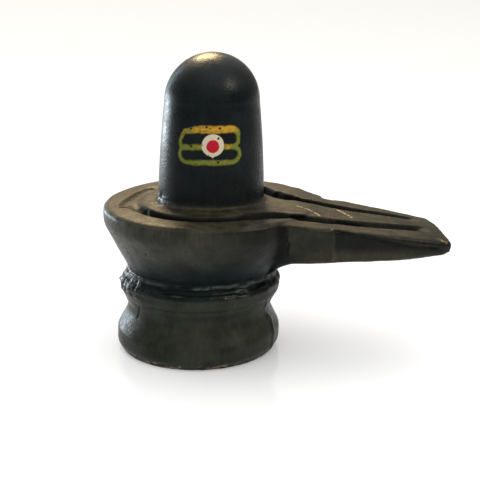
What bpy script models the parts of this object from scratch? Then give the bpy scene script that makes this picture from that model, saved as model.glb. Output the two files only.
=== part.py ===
"""Shiva lingam on its yoni base, carved as one solid piece about four inches tall.

Metres, +Z up, the spout along +X, the painted side facing -Y. The origin is the
centre of the underside. Heights are above the underside and radii are from the
axis of the part they belong to.
"""
import math

import bmesh
import bpy
from mathutils import Vector

MM = 0.001

# Fineness of the turned shapes, the fillets and the lofts
TURN_SIDES = 64
FILLET_SEGMENTS = 3
DOME_STEPS = 9
SHAFT_STEPS = 4
CROWN_STEPS = 4
SPOUT_STATIONS = 15
LEG_STATIONS = 9
BEND_STATIONS = 5
ARC_STATIONS = 36
SEAM_WELD = 0.01 * MM
CREASE_ANGLE = math.radians(35)

# Finish of the stone
STONE_COLOUR = (0.016, 0.018, 0.017, 1)
STONE_ROUGHNESS = 0.42

# Foot, neck and waist ring, turned about the origin
UNDERSIDE_RADIUS = 26.4 * MM
FOOT_RADIUS = 28.3 * MM
FOOT_BELLY_HEIGHT = 5.0 * MM
FOOT_BELLY_RISE = 2.5 * MM
FOOT_BELLY_DROP = 2.0 * MM
FOOT_TOP_ROUNDING = 3.5 * MM
FOOT_EDGE_ROUNDING = 3.0 * MM
NECK_RADIUS = 24.3 * MM
NECK_HEIGHT = 15.4 * MM
NECK_ROUNDING = 4.5 * MM
RING_RADIUS = 27.3 * MM
RING_HEIGHT = 23.2 * MM
RING_BAND = 3.2 * MM
RING_TOP_ROUNDING = 2.0 * MM
RING_EDGE_ROUNDING = 2.4 * MM
RING_DRIFT = 1.1 * MM
WAIST_CUT_DEPTH = 4.1 * MM
WAIST_CUT_RISE = 4.6 * MM
WAIST_CUT_ROUNDING = 0.8 * MM
JOIN_OVERLAP = 4.0 * MM

# Bowl and disc, turned about an axis set off towards the spout
DISC_OFFSET = 5.0 * MM
BOWL_FOOT_RADIUS = 24.8 * MM
BOWL_FOOT_SHIFT = 3.4 * MM
BOWL_FOOT_GAP = 0.5 * MM
BOWL_FOOT_ROUNDING = 1.2 * MM
BOWL_HEIGHT = 17.7 * MM
SHOULDER_ROUNDING = 5.0 * MM
DISC_RADIUS = 36.6 * MM
DISC_THICKNESS = 7.0 * MM
DISC_CROWN = 1.7 * MM
RIM_ROUNDING = 1.9 * MM

# Shaft and dome
SHAFT_RADIUS = 17.9 * MM
SHAFT_NARROWING = 2.0 * MM
SHAFT_SWELL_POWER = 1.6
SHAFT_LEAN = 0.019
SHAFT_FOOT_RISE = 2.0 * MM
COLLAR_FILLET = 1.3 * MM
DOME_HEIGHT = 15.8 * MM
LINGAM_HEIGHT = 48.8 * MM

# Spout, measured from the disc's axis
SPOUT_START = 16.0 * MM
SPOUT_ROOT = 28.0 * MM
SPOUT_LENGTH = 76.4 * MM
SPOUT_END_SKEW = 0.286
SKEW_START_SHARE = 0.3
SPOUT_ROOT_DROP = 0.6 * MM
SPOUT_FALL = 6.34 * MM
SPOUT_DROOP = 1.406 * MM
SPOUT_CROWN_ROUNDING = 25.0 * MM
SPOUT_EDGE_ROUNDING = 1.3 * MM
SPOUT_BELLY_ROUNDING = 3.0 * MM
BELLY_ROUNDING_SHARE = 0.4
SPOUT_WALL_SLOPE = 0.35
SPOUT_DEPTH = 16.95 * MM
SPOUT_UNDERSIDE_CLIMB = 2.033 * MM
SPOUT_LIFT = 1.8 * MM
SPOUT_LIFT_REACH = 16.4 * MM
SPOUT_LIFT_POWER = 2.2
NEAR_ROOT_WIDTH = 26.7 * MM
NEAR_END_WIDTH = 14.4 * MM
NEAR_TAPER_POWER = 0.7
NEAR_FALL = 1.7 * MM
FAR_ROOT_WIDTH = 22.6 * MM
FAR_END_WIDTH = 12.8 * MM
FAR_TAPER_POWER = 6.0
FAR_FALL = 0.3 * MM
WEB_START = 1.5 * MM
WEB_REACH = 8.5 * MM
WEB_NARROWING = 1.2
WEB_CLEARANCE = 0.6 * MM

# Channel round the collar and down both sides of the spout's tongue; its ring drifts towards -Y
COLLAR_WIDTH = 4.9 * MM
CHANNEL_DRIFT = 2.0 * MM
CHANNEL_HALF_WIDTH = 2.4 * MM
CHANNEL_DEPTH = 2.4 * MM
CHANNEL_FLOOR_SHARE = 0.5
CHANNEL_CLEARANCE = 2.5 * MM
BEND_HALF_WIDTH = 3.6 * MM
LEG_HALF_WIDTH = 2.3 * MM
LEG_END_HALF_WIDTH = 1.8 * MM
LEG_FADE_START = 0.78
NEAR_ARC_ANGLE = math.radians(60)
NEAR_BEND_CORNER = (20.5 * MM, -17.6 * MM)
NEAR_LEG_START = (30.0 * MM, -17.0 * MM)
NEAR_LEG_STOP = 2.2 * MM
NEAR_RIM_AT_END = 9.2 * MM
NEAR_LEG_BOW = 1.6 * MM
FAR_ARC_ANGLE = math.radians(308)
FAR_BEND_CORNER = (21.5 * MM, 4.3 * MM)
FAR_LEG_START = (31.0 * MM, 2.5 * MM)
FAR_LEG_STOP = 5.3 * MM
FAR_RIM_AT_END = 8.0 * MM
FAR_LEG_BOW = 2.2 * MM

# Shallow stretch of the channel behind the shaft, angles clockwise from the spout
RECESS_SHIFT = 0.7 * MM
RECESS_HALF_WIDTH = 2.9 * MM
RECESS_DEPTH = 0.9 * MM
RECESS_START = math.radians(152)
RECESS_END = math.radians(290)
RECESS_BLEND = math.radians(14)

# Places that follow from the sizes above
WAIST_CUT_RADIUS = RING_RADIUS - WAIST_CUT_DEPTH
WAIST_CUT_HEIGHT = RING_HEIGHT + WAIST_CUT_RISE
BOWL_FOOT_HEIGHT = WAIST_CUT_HEIGHT + BOWL_FOOT_GAP
BOWL_SHOULDER_HEIGHT = BOWL_FOOT_HEIGHT + BOWL_HEIGHT
DISC_TOP_HEIGHT = BOWL_SHOULDER_HEIGHT + DISC_THICKNESS
TOTAL_HEIGHT = DISC_TOP_HEIGHT + LINGAM_HEIGHT
SHAFT_TOP_RADIUS = SHAFT_RADIUS - SHAFT_NARROWING
SPOUT_ROOT_HEIGHT = DISC_TOP_HEIGHT - SPOUT_ROOT_DROP
SPOUT_UNDERSIDE_HEIGHT = SPOUT_ROOT_HEIGHT - SPOUT_DEPTH
CHANNEL_RADIUS = SHAFT_RADIUS + COLLAR_WIDTH + CHANNEL_HALF_WIDTH


def clear_scene():
    for obj in list(bpy.data.objects):
        bpy.data.objects.remove(obj)


def collection(name):
    made = bpy.data.collections.new(name)
    bpy.context.scene.collection.children.link(made)
    return made


def clamp(value, low=0.0, high=1.0):
    return max(low, min(high, value))


def smooth(t):
    t = clamp(t)
    return t * t * (3 - 2 * t)


def hump(t):
    """Rises from 0 at both ends to 1 halfway."""
    return 4 * t * (1 - t)


def between(start, end, share):
    return start + (end - start) * share


def filleted(corners, closed=False):
    """Points of an outline whose corners (x, y, radius) are rounded by arcs."""
    points = []
    count = len(corners)
    for i, (x, y, radius) in enumerate(corners):
        here = Vector((x, y))
        if radius == 0 or (not closed and i in (0, count - 1)):
            points.append(here)
            continue
        before = Vector(corners[i - 1][:2]) - here
        after = Vector(corners[(i + 1) % count][:2]) - here
        turn = before.angle(after)
        back = radius / math.tan(turn / 2)
        first = here + before.normalized() * back
        last = here + after.normalized() * back
        bisector = (before.normalized() + after.normalized()).normalized()
        centre = here + bisector * radius / math.sin(turn / 2)
        start = first - centre
        sweep = start.angle_signed(last - centre)
        for step in range(FILLET_SEGMENTS + 1):
            angle = -sweep * step / FILLET_SEGMENTS
            arm = Vector((
                start.x * math.cos(angle) - start.y * math.sin(angle),
                start.x * math.sin(angle) + start.y * math.cos(angle),
            ))
            points.append(centre + arm)
    return points


def turned(name, profile, home):
    """A closed turned solid from its profile, read from the top down."""
    mesh = bpy.data.meshes.new(name)
    bm = bmesh.new()
    verts = [bm.verts.new((r, 0, z)) for r, z in profile]
    for a, b in zip(verts, verts[1:]):
        bm.edges.new((a, b))
    bm.to_mesh(mesh)
    bm.free()
    obj = bpy.data.objects.new(name, mesh)
    home.objects.link(obj)
    screw = obj.modifiers.new("turn", "SCREW")
    screw.steps = TURN_SIDES
    screw.render_steps = TURN_SIDES
    screw.use_merge_vertices = True
    screw.merge_threshold = SEAM_WELD
    return obj


def applied(obj):
    """Makes the modified shape the object's own mesh, so that its vertices can be moved."""
    graph = bpy.context.evaluated_depsgraph_get()
    mesh = bpy.data.meshes.new_from_object(obj.evaluated_get(graph))
    obj.modifiers.clear()
    obj.data = mesh
    return obj


def lofted(name, outlines, home):
    """A closed solid through outlines of equal length, flat at both ends, on the disc's axis."""
    bm = bmesh.new()
    loops = [[bm.verts.new(point) for point in outline] for outline in outlines]
    for back, front in zip(loops, loops[1:]):
        for i in range(len(back)):
            j = (i + 1) % len(back)
            bm.faces.new((back[i], back[j], front[j], front[i]))
    bm.faces.new(loops[0])
    bm.faces.new(loops[-1])
    bmesh.ops.recalc_face_normals(bm, faces=bm.faces)
    mesh = bpy.data.meshes.new(name)
    bm.to_mesh(mesh)
    bm.free()
    obj = bpy.data.objects.new(name, mesh)
    obj.location.x = DISC_OFFSET
    home.objects.link(obj)
    return obj


def pedestal(home):
    """Foot, neck and waist ring, with the cut that parts the ring from the bowl."""
    core_top = BOWL_FOOT_HEIGHT + JOIN_OVERLAP
    corners = [
        (0, core_top, 0),
        (WAIST_CUT_RADIUS, core_top, 0),
        (WAIST_CUT_RADIUS, WAIST_CUT_HEIGHT, WAIST_CUT_ROUNDING),
        (RING_RADIUS, RING_HEIGHT + RING_BAND / 2, RING_TOP_ROUNDING),
        (RING_RADIUS, RING_HEIGHT - RING_BAND / 2, RING_EDGE_ROUNDING),
        (NECK_RADIUS, NECK_HEIGHT, NECK_ROUNDING),
        (FOOT_RADIUS, FOOT_BELLY_HEIGHT + FOOT_BELLY_RISE, FOOT_TOP_ROUNDING),
        (FOOT_RADIUS, FOOT_BELLY_HEIGHT - FOOT_BELLY_DROP, FOOT_EDGE_ROUNDING),
        (UNDERSIDE_RADIUS, 0, 0),
        (0, 0, 0),
    ]
    obj = applied(turned("pedestal", filleted(corners), home))
    for vertex in obj.data.vertices:
        vertex.co.x += RING_DRIFT * clamp(vertex.co.z / RING_HEIGHT)
    return obj


def crown_height(radius):
    """Height of the disc's crowned top, which falls off from its middle to its rim."""
    return DISC_TOP_HEIGHT - DISC_CROWN * (radius / DISC_RADIUS) ** 2


def dome_and_shaft():
    """Profile of the lingam from the top of its dome down to just above the collar."""
    spring = TOTAL_HEIGHT - DOME_HEIGHT
    foot = DISC_TOP_HEIGHT + SHAFT_FOOT_RISE
    points = []
    for step in range(DOME_STEPS + 1):
        angle = math.pi / 2 * step / DOME_STEPS
        points.append((SHAFT_TOP_RADIUS * math.sin(angle), spring + DOME_HEIGHT * math.cos(angle)))
    for step in range(1, SHAFT_STEPS + 1):
        down = step / SHAFT_STEPS
        swell = 1 - (1 - down) ** SHAFT_SWELL_POWER
        points.append((between(SHAFT_TOP_RADIUS, SHAFT_RADIUS, swell), between(spring, foot, down)))
    return points


def lingam_and_bowl(home):
    """Dome, shaft, crowned disc and bowl, turned in one; the bowl then slants back over the foot."""
    shaft = dome_and_shaft()
    corners = [(*shaft[-1], 0), (SHAFT_RADIUS, crown_height(SHAFT_RADIUS), COLLAR_FILLET)]
    for step in range(1, CROWN_STEPS):
        radius = between(SHAFT_RADIUS, DISC_RADIUS, step / CROWN_STEPS)
        corners.append((radius, crown_height(radius), 0))
    corners += [
        (DISC_RADIUS, crown_height(DISC_RADIUS), RIM_ROUNDING),
        (DISC_RADIUS, BOWL_SHOULDER_HEIGHT, SHOULDER_ROUNDING),
        (BOWL_FOOT_RADIUS, BOWL_FOOT_HEIGHT, BOWL_FOOT_ROUNDING),
        (0, BOWL_FOOT_HEIGHT, 0),
    ]
    obj = applied(turned("shiva_lingam", shaft[:-1] + filleted(corners), home))
    for vertex in obj.data.vertices:
        height = vertex.co.z
        vertex.co.x += SHAFT_LEAN * max(0.0, height - DISC_TOP_HEIGHT)
        vertex.co.x -= BOWL_FOOT_SHIFT * clamp((BOWL_SHOULDER_HEIGHT - height) / BOWL_HEIGHT)
    obj.location.x = DISC_OFFSET
    return obj


def spout_share(x):
    """Share of the spout's run that x has passed: 0 at its root and 1 at its end."""
    return clamp((x - SPOUT_ROOT) / (SPOUT_LENGTH - SPOUT_ROOT))


def spine_height(x):
    """Height of the spout's top along its middle: level over the disc, then falling and drooping."""
    out = spout_share(x)
    return SPOUT_ROOT_HEIGHT - SPOUT_FALL * out - SPOUT_DROOP * out ** 2


def spout_sides(x):
    """Distances from the spout's middle to its near and far edges, tapering to the end."""
    left = 1 - spout_share(x)
    near = between(NEAR_END_WIDTH, NEAR_ROOT_WIDTH, left ** NEAR_TAPER_POWER)
    far = between(FAR_END_WIDTH, FAR_ROOT_WIDTH, left ** FAR_TAPER_POWER)
    return near, far


def spout_top_height(x, y):
    near, far = spout_sides(x)
    fall = NEAR_FALL * (y / near) ** 2 if y < 0 else FAR_FALL * (y / far) ** 2
    return spine_height(x) - fall


def spout_underside(x):
    """Height of the spout's underside, and how far its walls lean in on the way down to it."""
    web = clamp((SPOUT_ROOT + WEB_START - x) / WEB_REACH) ** 2
    drop = web * (SPOUT_UNDERSIDE_HEIGHT - BOWL_FOOT_HEIGHT - WEB_CLEARANCE)
    climb = SPOUT_UNDERSIDE_CLIMB * spout_share(x)
    lift = clamp(1 - (SPOUT_LENGTH - x) / SPOUT_LIFT_REACH) ** SPOUT_LIFT_POWER
    bottom = SPOUT_UNDERSIDE_HEIGHT - drop + climb + SPOUT_LIFT * lift
    inset = SPOUT_WALL_SLOPE * (spine_height(x) - bottom) + WEB_NARROWING * drop
    return bottom, inset


def spout_section(x):
    """Outline of the spout across its run, as (y, z), with its edges rounded."""
    near, far = spout_sides(x)
    top = spine_height(x)
    bottom, inset = spout_underside(x)
    rounding = min(SPOUT_BELLY_ROUNDING, BELLY_ROUNDING_SHARE * (top - NEAR_FALL - bottom))
    corners = [
        (far, top - FAR_FALL, SPOUT_EDGE_ROUNDING),
        (0, top, SPOUT_CROWN_ROUNDING),
        (-near, top - NEAR_FALL, SPOUT_EDGE_ROUNDING),
        (inset - near, bottom, rounding),
        (far - inset, bottom, rounding),
    ]
    return filleted(corners, closed=True)


def spout(home):
    """The spout: a loft along its run, turning to a slanted cut at its end."""
    outlines = []
    for station in range(SPOUT_STATIONS):
        run = station / (SPOUT_STATIONS - 1)
        x = between(SPOUT_START, SPOUT_LENGTH, run)
        skew = SPOUT_END_SKEW * smooth((run - SKEW_START_SHARE) / (1 - SKEW_START_SHARE))
        outlines.append([(x - skew * y, y, z) for y, z in spout_section(x)])
    return lofted("spout", outlines, home)


def channel_leg(start, end, bow):
    """Centre line of one leg as (x, y, half width, depth), from its end back, bowed towards -Y."""
    stations = []
    for station in range(LEG_STATIONS + 1):
        out = 1 - station / LEG_STATIONS
        fade = 1 - smooth((out - LEG_FADE_START) / (1 - LEG_FADE_START))
        stations.append((
            between(start[0], end[0], out),
            between(start[1], end[1], out) - bow * hump(out),
            between(LEG_HALF_WIDTH, LEG_END_HALF_WIDTH, out),
            CHANNEL_DEPTH * fade,
        ))
    return stations


def channel_bend(start, corner, end):
    """Centre line of the wide bend between a leg and the ring, without its two end stations."""
    stations = []
    for station in range(1, BEND_STATIONS):
        t = station / BEND_STATIONS
        x, y = (between(between(a, b, t), between(b, c, t), t) for a, b, c in zip(start, corner, end))
        wide = between(CHANNEL_HALF_WIDTH, BEND_HALF_WIDTH, hump(t))
        stations.append((x, y, wide, CHANNEL_DEPTH))
    return stations


def channel_arc():
    """Centre line round the collar, clockwise from the near bend to the far bend."""
    stations = []
    for station in range(ARC_STATIONS + 1):
        angle = between(NEAR_ARC_ANGLE, FAR_ARC_ANGLE, station / ARC_STATIONS)
        recess = smooth((angle - RECESS_START) / RECESS_BLEND)
        recess *= 1 - smooth((angle - RECESS_END) / RECESS_BLEND)
        radius = CHANNEL_RADIUS + RECESS_SHIFT * recess
        stations.append((
            radius * math.cos(angle),
            -radius * math.sin(angle) - CHANNEL_DRIFT,
            between(CHANNEL_HALF_WIDTH, RECESS_HALF_WIDTH, recess),
            between(CHANNEL_DEPTH, RECESS_DEPTH, recess),
        ))
    return stations


def channel_stations():
    near_end = (SPOUT_LENGTH - NEAR_LEG_STOP, NEAR_RIM_AT_END - NEAR_END_WIDTH)
    far_end = (SPOUT_LENGTH - FAR_LEG_STOP, FAR_END_WIDTH - FAR_RIM_AT_END)
    near = channel_leg(NEAR_LEG_START, near_end, NEAR_LEG_BOW)
    far = channel_leg(FAR_LEG_START, far_end, FAR_LEG_BOW)
    arc = channel_arc()
    near_bend = channel_bend(NEAR_LEG_START, NEAR_BEND_CORNER, arc[0][:2])
    far_bend = channel_bend(arc[-1][:2], FAR_BEND_CORNER, FAR_LEG_START)
    return near + near_bend + arc + far_bend + far[::-1]


def surface_height(x, y):
    """Height of the carved top before the channel is cut, over the disc or the spout."""
    crown = crown_height(math.hypot(x, y))
    return max(crown, spout_top_height(x, y)) if x > SPOUT_START else crown


def channel(home):
    """Cutter for the channel: a trough of sloping walls swept along its centre line."""
    stations = channel_stations()
    outlines = []
    for i, (x, y, half_width, depth) in enumerate(stations):
        before = Vector(stations[max(0, i - 1)][:2])
        after = Vector(stations[min(len(stations) - 1, i + 1)][:2])
        along = (after - before).normalized()
        surface = surface_height(x, y)
        flare = (1 - CHANNEL_FLOOR_SHARE) * CHANNEL_CLEARANCE / max(depth, CHANNEL_DEPTH)
        lid = half_width * (1 + flare)
        floor = half_width * CHANNEL_FLOOR_SHARE
        top = surface + CHANNEL_CLEARANCE
        bottom = surface - depth
        section = ((lid, top), (floor, bottom), (-floor, bottom), (-lid, top))
        outlines.append([(x - along.y * side, y + along.x * side, height) for side, height in section])
    return lofted("channel", outlines, home)


def combine(body, other, operation):
    modifier = body.modifiers.new(other.name, "BOOLEAN")
    modifier.operation = operation
    modifier.solver = "EXACT"
    modifier.object = other
    other.hide_render = True
    other.display_type = "WIRE"


def stone():
    material = bpy.data.materials.new("blackened_stone")
    material.use_nodes = True
    shader = material.node_tree.nodes["Principled BSDF"]
    shader.inputs["Base Color"].default_value = STONE_COLOUR
    shader.inputs["Roughness"].default_value = STONE_ROUGHNESS
    shader.inputs["Metallic"].default_value = 0.0
    return material


def main():
    clear_scene()
    parts = collection("shiva_lingam")
    cutters = collection("cutters")
    body = lingam_and_bowl(parts)
    combine(body, pedestal(cutters), "UNION")
    combine(body, spout(cutters), "UNION")
    combine(body, channel(cutters), "DIFFERENCE")
    body.data.materials.append(stone())
    body.data.shade_smooth()
    body.data.set_sharp_from_angle(angle=CREASE_ANGLE)


main()
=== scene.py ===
"""Looks of a small black stone shiva lingam: its hand-worked surface, satin finish and painted mark."""
import itertools
import math

import bmesh
import bpy
import numpy as np
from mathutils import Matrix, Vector


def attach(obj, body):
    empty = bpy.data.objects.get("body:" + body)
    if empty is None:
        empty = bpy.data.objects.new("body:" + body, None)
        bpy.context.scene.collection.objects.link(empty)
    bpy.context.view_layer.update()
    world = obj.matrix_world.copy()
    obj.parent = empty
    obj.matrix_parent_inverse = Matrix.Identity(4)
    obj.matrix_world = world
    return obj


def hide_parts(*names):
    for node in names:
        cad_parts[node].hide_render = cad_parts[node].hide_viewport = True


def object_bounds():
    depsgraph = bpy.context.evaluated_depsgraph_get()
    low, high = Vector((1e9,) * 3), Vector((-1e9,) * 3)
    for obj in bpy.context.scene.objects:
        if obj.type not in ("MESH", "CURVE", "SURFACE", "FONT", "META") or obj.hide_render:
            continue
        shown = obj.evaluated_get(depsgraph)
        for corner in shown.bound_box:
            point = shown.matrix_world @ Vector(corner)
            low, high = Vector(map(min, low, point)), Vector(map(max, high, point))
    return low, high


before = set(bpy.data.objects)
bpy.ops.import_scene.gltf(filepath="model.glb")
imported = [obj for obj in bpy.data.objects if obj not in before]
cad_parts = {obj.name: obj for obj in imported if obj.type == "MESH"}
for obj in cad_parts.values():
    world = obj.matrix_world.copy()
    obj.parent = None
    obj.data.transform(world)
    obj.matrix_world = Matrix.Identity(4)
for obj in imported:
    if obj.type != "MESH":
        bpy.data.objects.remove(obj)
CAD_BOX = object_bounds()

MM = 0.001
NODE = "shiva_lingam"

# Fineness of the worked mesh
VOXEL = 0.38 * MM
MOST_TRIANGLES = 190000
WELD = 0.001 * MM
TINY = 1e-6

# Lengths and angles from here to the camera's are in millimetres and degrees.
# A pair of values is where a soft step starts and ends, or where a band begins and ends.
BOX_MARGIN = 0.02

# Turned shapes: their sides and the lines that their axes follow
TURN_SIDES = 64
DISC_AXIS = 5.0
DISC_RADIUS = 36.6
DISC_TOP = 53.0
DISC_FACE = (49.0, 50.0)
SHAFT_LEAN = 0.019
SHAFT_RADIUS = 17.9
SHAFT_TOP_RADIUS = 15.9
SHAFT_SWELL_POWER = 1.6
SHAFT_FOOT = 55.0
DOME_HEIGHT = 15.8
LINGAM_TOP = CAD_BOX[1].z / MM
DOME_SPRING = LINGAM_TOP - DOME_HEIGHT
BOWL_SHOULDER = 46.0
BOWL_FOOT = 28.3
BOWL_FOOT_SHIFT = 3.4
RING_DRIFT = 1.1
RING_HEIGHT = 23.2
WAIST_REACH = 29

# Smoothing of the remeshed form
SMOOTH_STEPS = (0.50, -0.51)
FIRST_ROUNDS = 6
BROAD_ROUNDS = 30
FOOT_FACE = (20.0, 22.0)
BOWL_FACE = (31.0, 47.0)
BOWL_END = (26.0, 32.0)
UNDERSIDE_EDGE = (0.6, 2.0)

# Soft sweeps between the bowl and the spout's two sides, and the line of painted shade in the crease of the
# near one
NEAR_JOINT = ((31.4, -26.0, 47.0), (31.0, -24.2, 43.5), (30.0, -20.6, 38.5))
FAR_JOINT = ((34.6, 22.0, 47.5), (34.0, 20.6, 43.5), (33.0, 17.2, 38.5))
JOINT_SHADE_LINE = ((31.2, -26.6, 49.0), (31.0, -24.2, 43.5), (29.6, -20.6, 38.5))
SWEEP_REACH = 5.0
SWEEP_TOP = (48.0, 50.5)
SWEEP_ROUNDS = 160
LEAST_SWEEP = 0.03

# Disc's rim worn level where it crosses the spout's root
ROOT_RUN = (34.0, 45.0)
ROOT_SPREAD = (-24.0, 19.0)
ROOT_OFF_CHANNEL = (3.6, 5.0)
ROOT_FACING = (0.7, 0.9)
ROOT_ROUNDS = 70

# Channel in plan: the circle round the collar, then the two legs (start, end, bow) with their bends
CHANNEL_MIDDLE = (5.0, -2.0)
CHANNEL_RADIUS = 25.2
GROOVE_DEEPENING = 1.5
NEAR_ARC_ANGLE = -60.0
FAR_ARC_ANGLE = -308.0
NEAR_BEND = (25.5, -17.6)
NEAR_LEG = ((35.0, -17.0), (79.2, -5.2), 1.6)
FAR_BEND = (26.5, 4.3)
FAR_LEG = ((36.0, 2.5), (76.1, 4.8), 2.2)
CHANNEL_LOWEST = 43.0
FAR_OFF = 99.0

# Shares of the channel's line from the near leg's end, distances from it, and where it is shallow
ON_RING = (0.24, 0.80)
AT_NEAR_BEND = (0.222, 0.255)
AT_FAR_BEND = (0.775, 0.805)
BEND_WIDENING = 0.5
LEG_END = 0.03
CUT_EDGE = (1.5, 2.6)
# Distances from the channel's line where its painted shade fades out
SHADE_EDGE = (2.1, 2.9)
SHALLOW_START = (62.0, 72.0)
SHALLOW_END = (-160.0, -148.0)
SHALLOW_REACH = (4.0, 5.5)
SHALLOW_FILLING = 0.8
SHALLOW_ROUNDS = 40

# Unevenness of handwork: height, lump size and seed of each layer
UNEVENNESS = ((0.22, 13.0, 1), (0.09, 4.5, 2), (0.03, 1.6, 3))
SHAFT_CALM = 0.75
CALM_START = (DISC_TOP + 1, DISC_TOP + 6)
FLOOR_CALM = (0.2, 3.0)

# Filler round the collar, and beads where the channel starts
COLLAR_RADII = (17.5, 20.6)
COLLAR_HEIGHTS = (51.5, 54.5)
COLLAR_ROUGH_ANGLES = (-172, -142)
COLLAR_LUMP = 0.05
COLLAR_LEFT_LUMP = 0.22
BEAD_ANGLES = (-152, -138)
BEAD_EDGE = (2.2, 3.0)
BEAD_LOWEST = 48
BEAD_HEIGHT = 0.04
BEAD_START_HEIGHT = 0.24

# Line round the shallow recess on the disc, the crack beside it and its gold flecks
RECESS_LINE = (
    (-16.0, 15.0, 52.2), (-19.2, 12.8, 52.1), (-21.2, 8.1, 52.1),
    (-22.3, 1.5, 52.1), (-23.7, -5.2, 52.0), (-23.8, -11.5, 51.9),
)
CRACK_LINE = (
    (-24.4, -12.4, 51.8), (-22.6, -13.1, 51.8), (-21.0, -12.8, 51.9),
    (-18.9, -13.9, 52.0), (-17.0, -15.2, 51.9),
)
GOLD_FLECKS = ((-17.9, -15.7, 51.9), (-16.1, -16.5, 51.9), (-19.6, -18.9, 51.7))
FLECK_SIZE = 0.7
RECESS_LOWEST = 50.5

# Painted highlights on the disc's rim: a golden line on its rounded front edge, and a pale edge on the far
# left
GOLD_LINE_RADIUS = DISC_RADIUS - 1.0
GOLD_LINE_ANGLES = (-146, -108)
GOLD_LINE_HEIGHTS = (49.5, 50.5)
PALE_EDGE_RADIUS = DISC_RADIUS - 0.7
PALE_EDGE_ANGLES = (-184, -156)
PALE_EDGE_OTHER_ANGLES = (170, 190)

# Scratches across the tongue, in plan
SCRATCHES = (
    ((34.6, -5.0), (36.6, -6.1), (39.1, -8.2), (42.5, -11.4)),
    ((45.8, -0.1), (49.9, -3.9), (52.9, -7.8)),
)
SCRATCH_WIDTH = 0.42
SCRATCH_DEPTH = 0.06
SCRATCH_WEAR = 1.4
SCRATCH_LOWEST = 45

# Ragged cut at the waist
CUT_HEIGHTS = (24.2, 28.6)
CUT_STRETCH = (0.30, 4.6, 0.3)
CUT_FILLING = 0.34
CUT_STRINGS = 0.32
CUT_GRAIN = 0.12
CUT_UPPER_FILLING = 0.9
CUT_UPPER_HEIGHTS = (25.8, 27.2)
WAIST_LUMP_ANGLES = (-172, -134)
WAIST_LUMP_HEIGHTS = (22.4, 28.4)
WAIST_LUMP_FILLING = 0.42
WAIST_LUMP = 0.44
WAIST_LUMP_EDGE = (0.1, 0.8)
WAIST_LUMP_PALE = 0.6
WAIST_FRONT_ANGLES = (-165, -20)
STRING_EDGE = (0.35, 0.8)
STRING_PALE = 0.5
BOWL_LINE_LIFT = 0.25
BOWL_LINE_WANDER = 0.25
BOWL_LINE_WIDTH = 0.28
BOWL_LINE_BREAKS = (-0.6, 0.1)
BOWL_LINE_RIDGE = 0.22
BOWL_LINE_RADIUS = 23.6
BOWL_LINE_PALE = 0.9

# Line under the ring, crack and crease of the flare
RING_LINE_HEIGHT = 19.6
RING_LINE_WANDER = 0.45
RING_LINE_DEPTH = 0.20
RING_LINE_ANGLES = (-150, -15)
FLARE_CRACK = ((-16.9, -19.0, 19.0), (-17.8, -16.5, 15.9), (-18.5, -16.5, 13.5))
FLARE_CREASE = ((24.6, -11.0, 19.1), (25.9, -5.9, 11.9), (27.2, -8.7, 6.4), (26.2, -9.2, 1.0))

# Chips along the bottom edge, deepest in front
CHIP_HEIGHTS = (0.9, 2.2)
CHIP_UNDERSIDE = (-0.05, 0.25)
CHIP_DEPTH = 0.35
CHIP_LEAST = 0.45
CHIP_FRONT_ANGLES = (-112, -55)

# Tool work on the spout's near side
NEAR_FACING = (0.15, 0.45)
NEAR_FROM = (-8.0, -12.0)
CHAMFER_RUN = (33.0, 46.4)
CHAMFER_HEIGHTS = (46.6, 50.2)
CHAMFER_DEPTH = 0.50
RIDGE_PLACE = 47.0
RIDGE_HEIGHTS = (38.5, 48.5)
RIDGE_RISE = 0.50
PANEL_CORNER = (48.0, 49.3)
PANEL_SLOPE = 0.27
PANEL_START = (47.5, 48.0)
PANEL_END = (70.0, 82.0)
PANEL_TOP_FADE = 0.7
PANEL_BOTTOM = (36.5, 38.5)
PANEL_DEPTH = 0.55
SPOUT_CREASE = ((54.0, -22.6, 47.4), (61.6, -20.9, 45.5), (71.6, -18.3, 42.7), (82.0, -15.0, 41.4))
ROOT_EDGE_PLACE = 32.8
ROOT_EDGE_WANDER = 0.5
ROOT_EDGE_HEIGHTS = (39.5, 47.0)
ROOT_EDGE_DEPTH = 0.35

# Tip of the spout, and the notch in its far edge
TIP_FACET = (82.5, -13.2, 44.0)
TIP_LUMP = (82.4, -13.0, 39.6)
TIP_WORK = 0.45
TIP_WEAR = ((81.0, -12.8, 43.6), (83.4, -13.6, 43.4))
NOTCH_SIDE = (9.0, 12.0)
NOTCH_START = (41.5, 42.6)
NOTCH_END = (43.5, 52.0)
NOTCH_HEIGHTS = (45.0, 48.5)
NOTCH_DEPTH = 0.55

# Pits in the bowl's side
PITS = ((-12.2, -28.8, 40.7), (14.1, -35.4, 46.1), (7.5, -36.2, 45.8))
PIT_SIZE = 0.45

# Camera: the photograph's viewing angle, in metres and radians, and its lens in millimetres
VIEW_ELEVATION = math.radians(16.3)
VIEW_TURN = math.radians(6.0)
VIEW_DISTANCE = 0.3795
VIEW_TARGET = Vector((0.01475, 0.00155, 0.03736))
VIEW_LENS = 82.5


def blend(value, start, end):
    """0 before start and 1 after end, with a smooth step between them; start may be above end."""
    t = np.clip((value - start) / (end - start), 0, 1)
    return t * t * (3 - 2 * t)


def band(value, low, high, soft):
    """1 between low and high, fading to 0 over the soft margin outside them."""
    return blend(value, low - soft, low) * (1 - blend(value, high, high + soft))


def soft_line(gap, width):
    """1 where the gap is 0, fading smoothly over the width."""
    return np.exp(-(gap / width) ** 2)


def noise(points, size, seed):
    """Smooth noise from -1 to 1, in lumps of the given size."""
    cells = 32
    table = np.random.default_rng(seed).uniform(-1, 1, (cells, cells, cells))
    place = points / size
    base = np.floor(place).astype(int)
    part = place - base
    part = part * part * (3 - 2 * part)
    total = np.zeros(len(points))
    for corner in itertools.product((0, 1), repeat=3):
        index = (base + corner) % cells
        weight = np.prod(np.where(corner, part, 1 - part), axis=1)
        total += weight * table[index[:, 0], index[:, 1], index[:, 2]]
    return total


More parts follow.
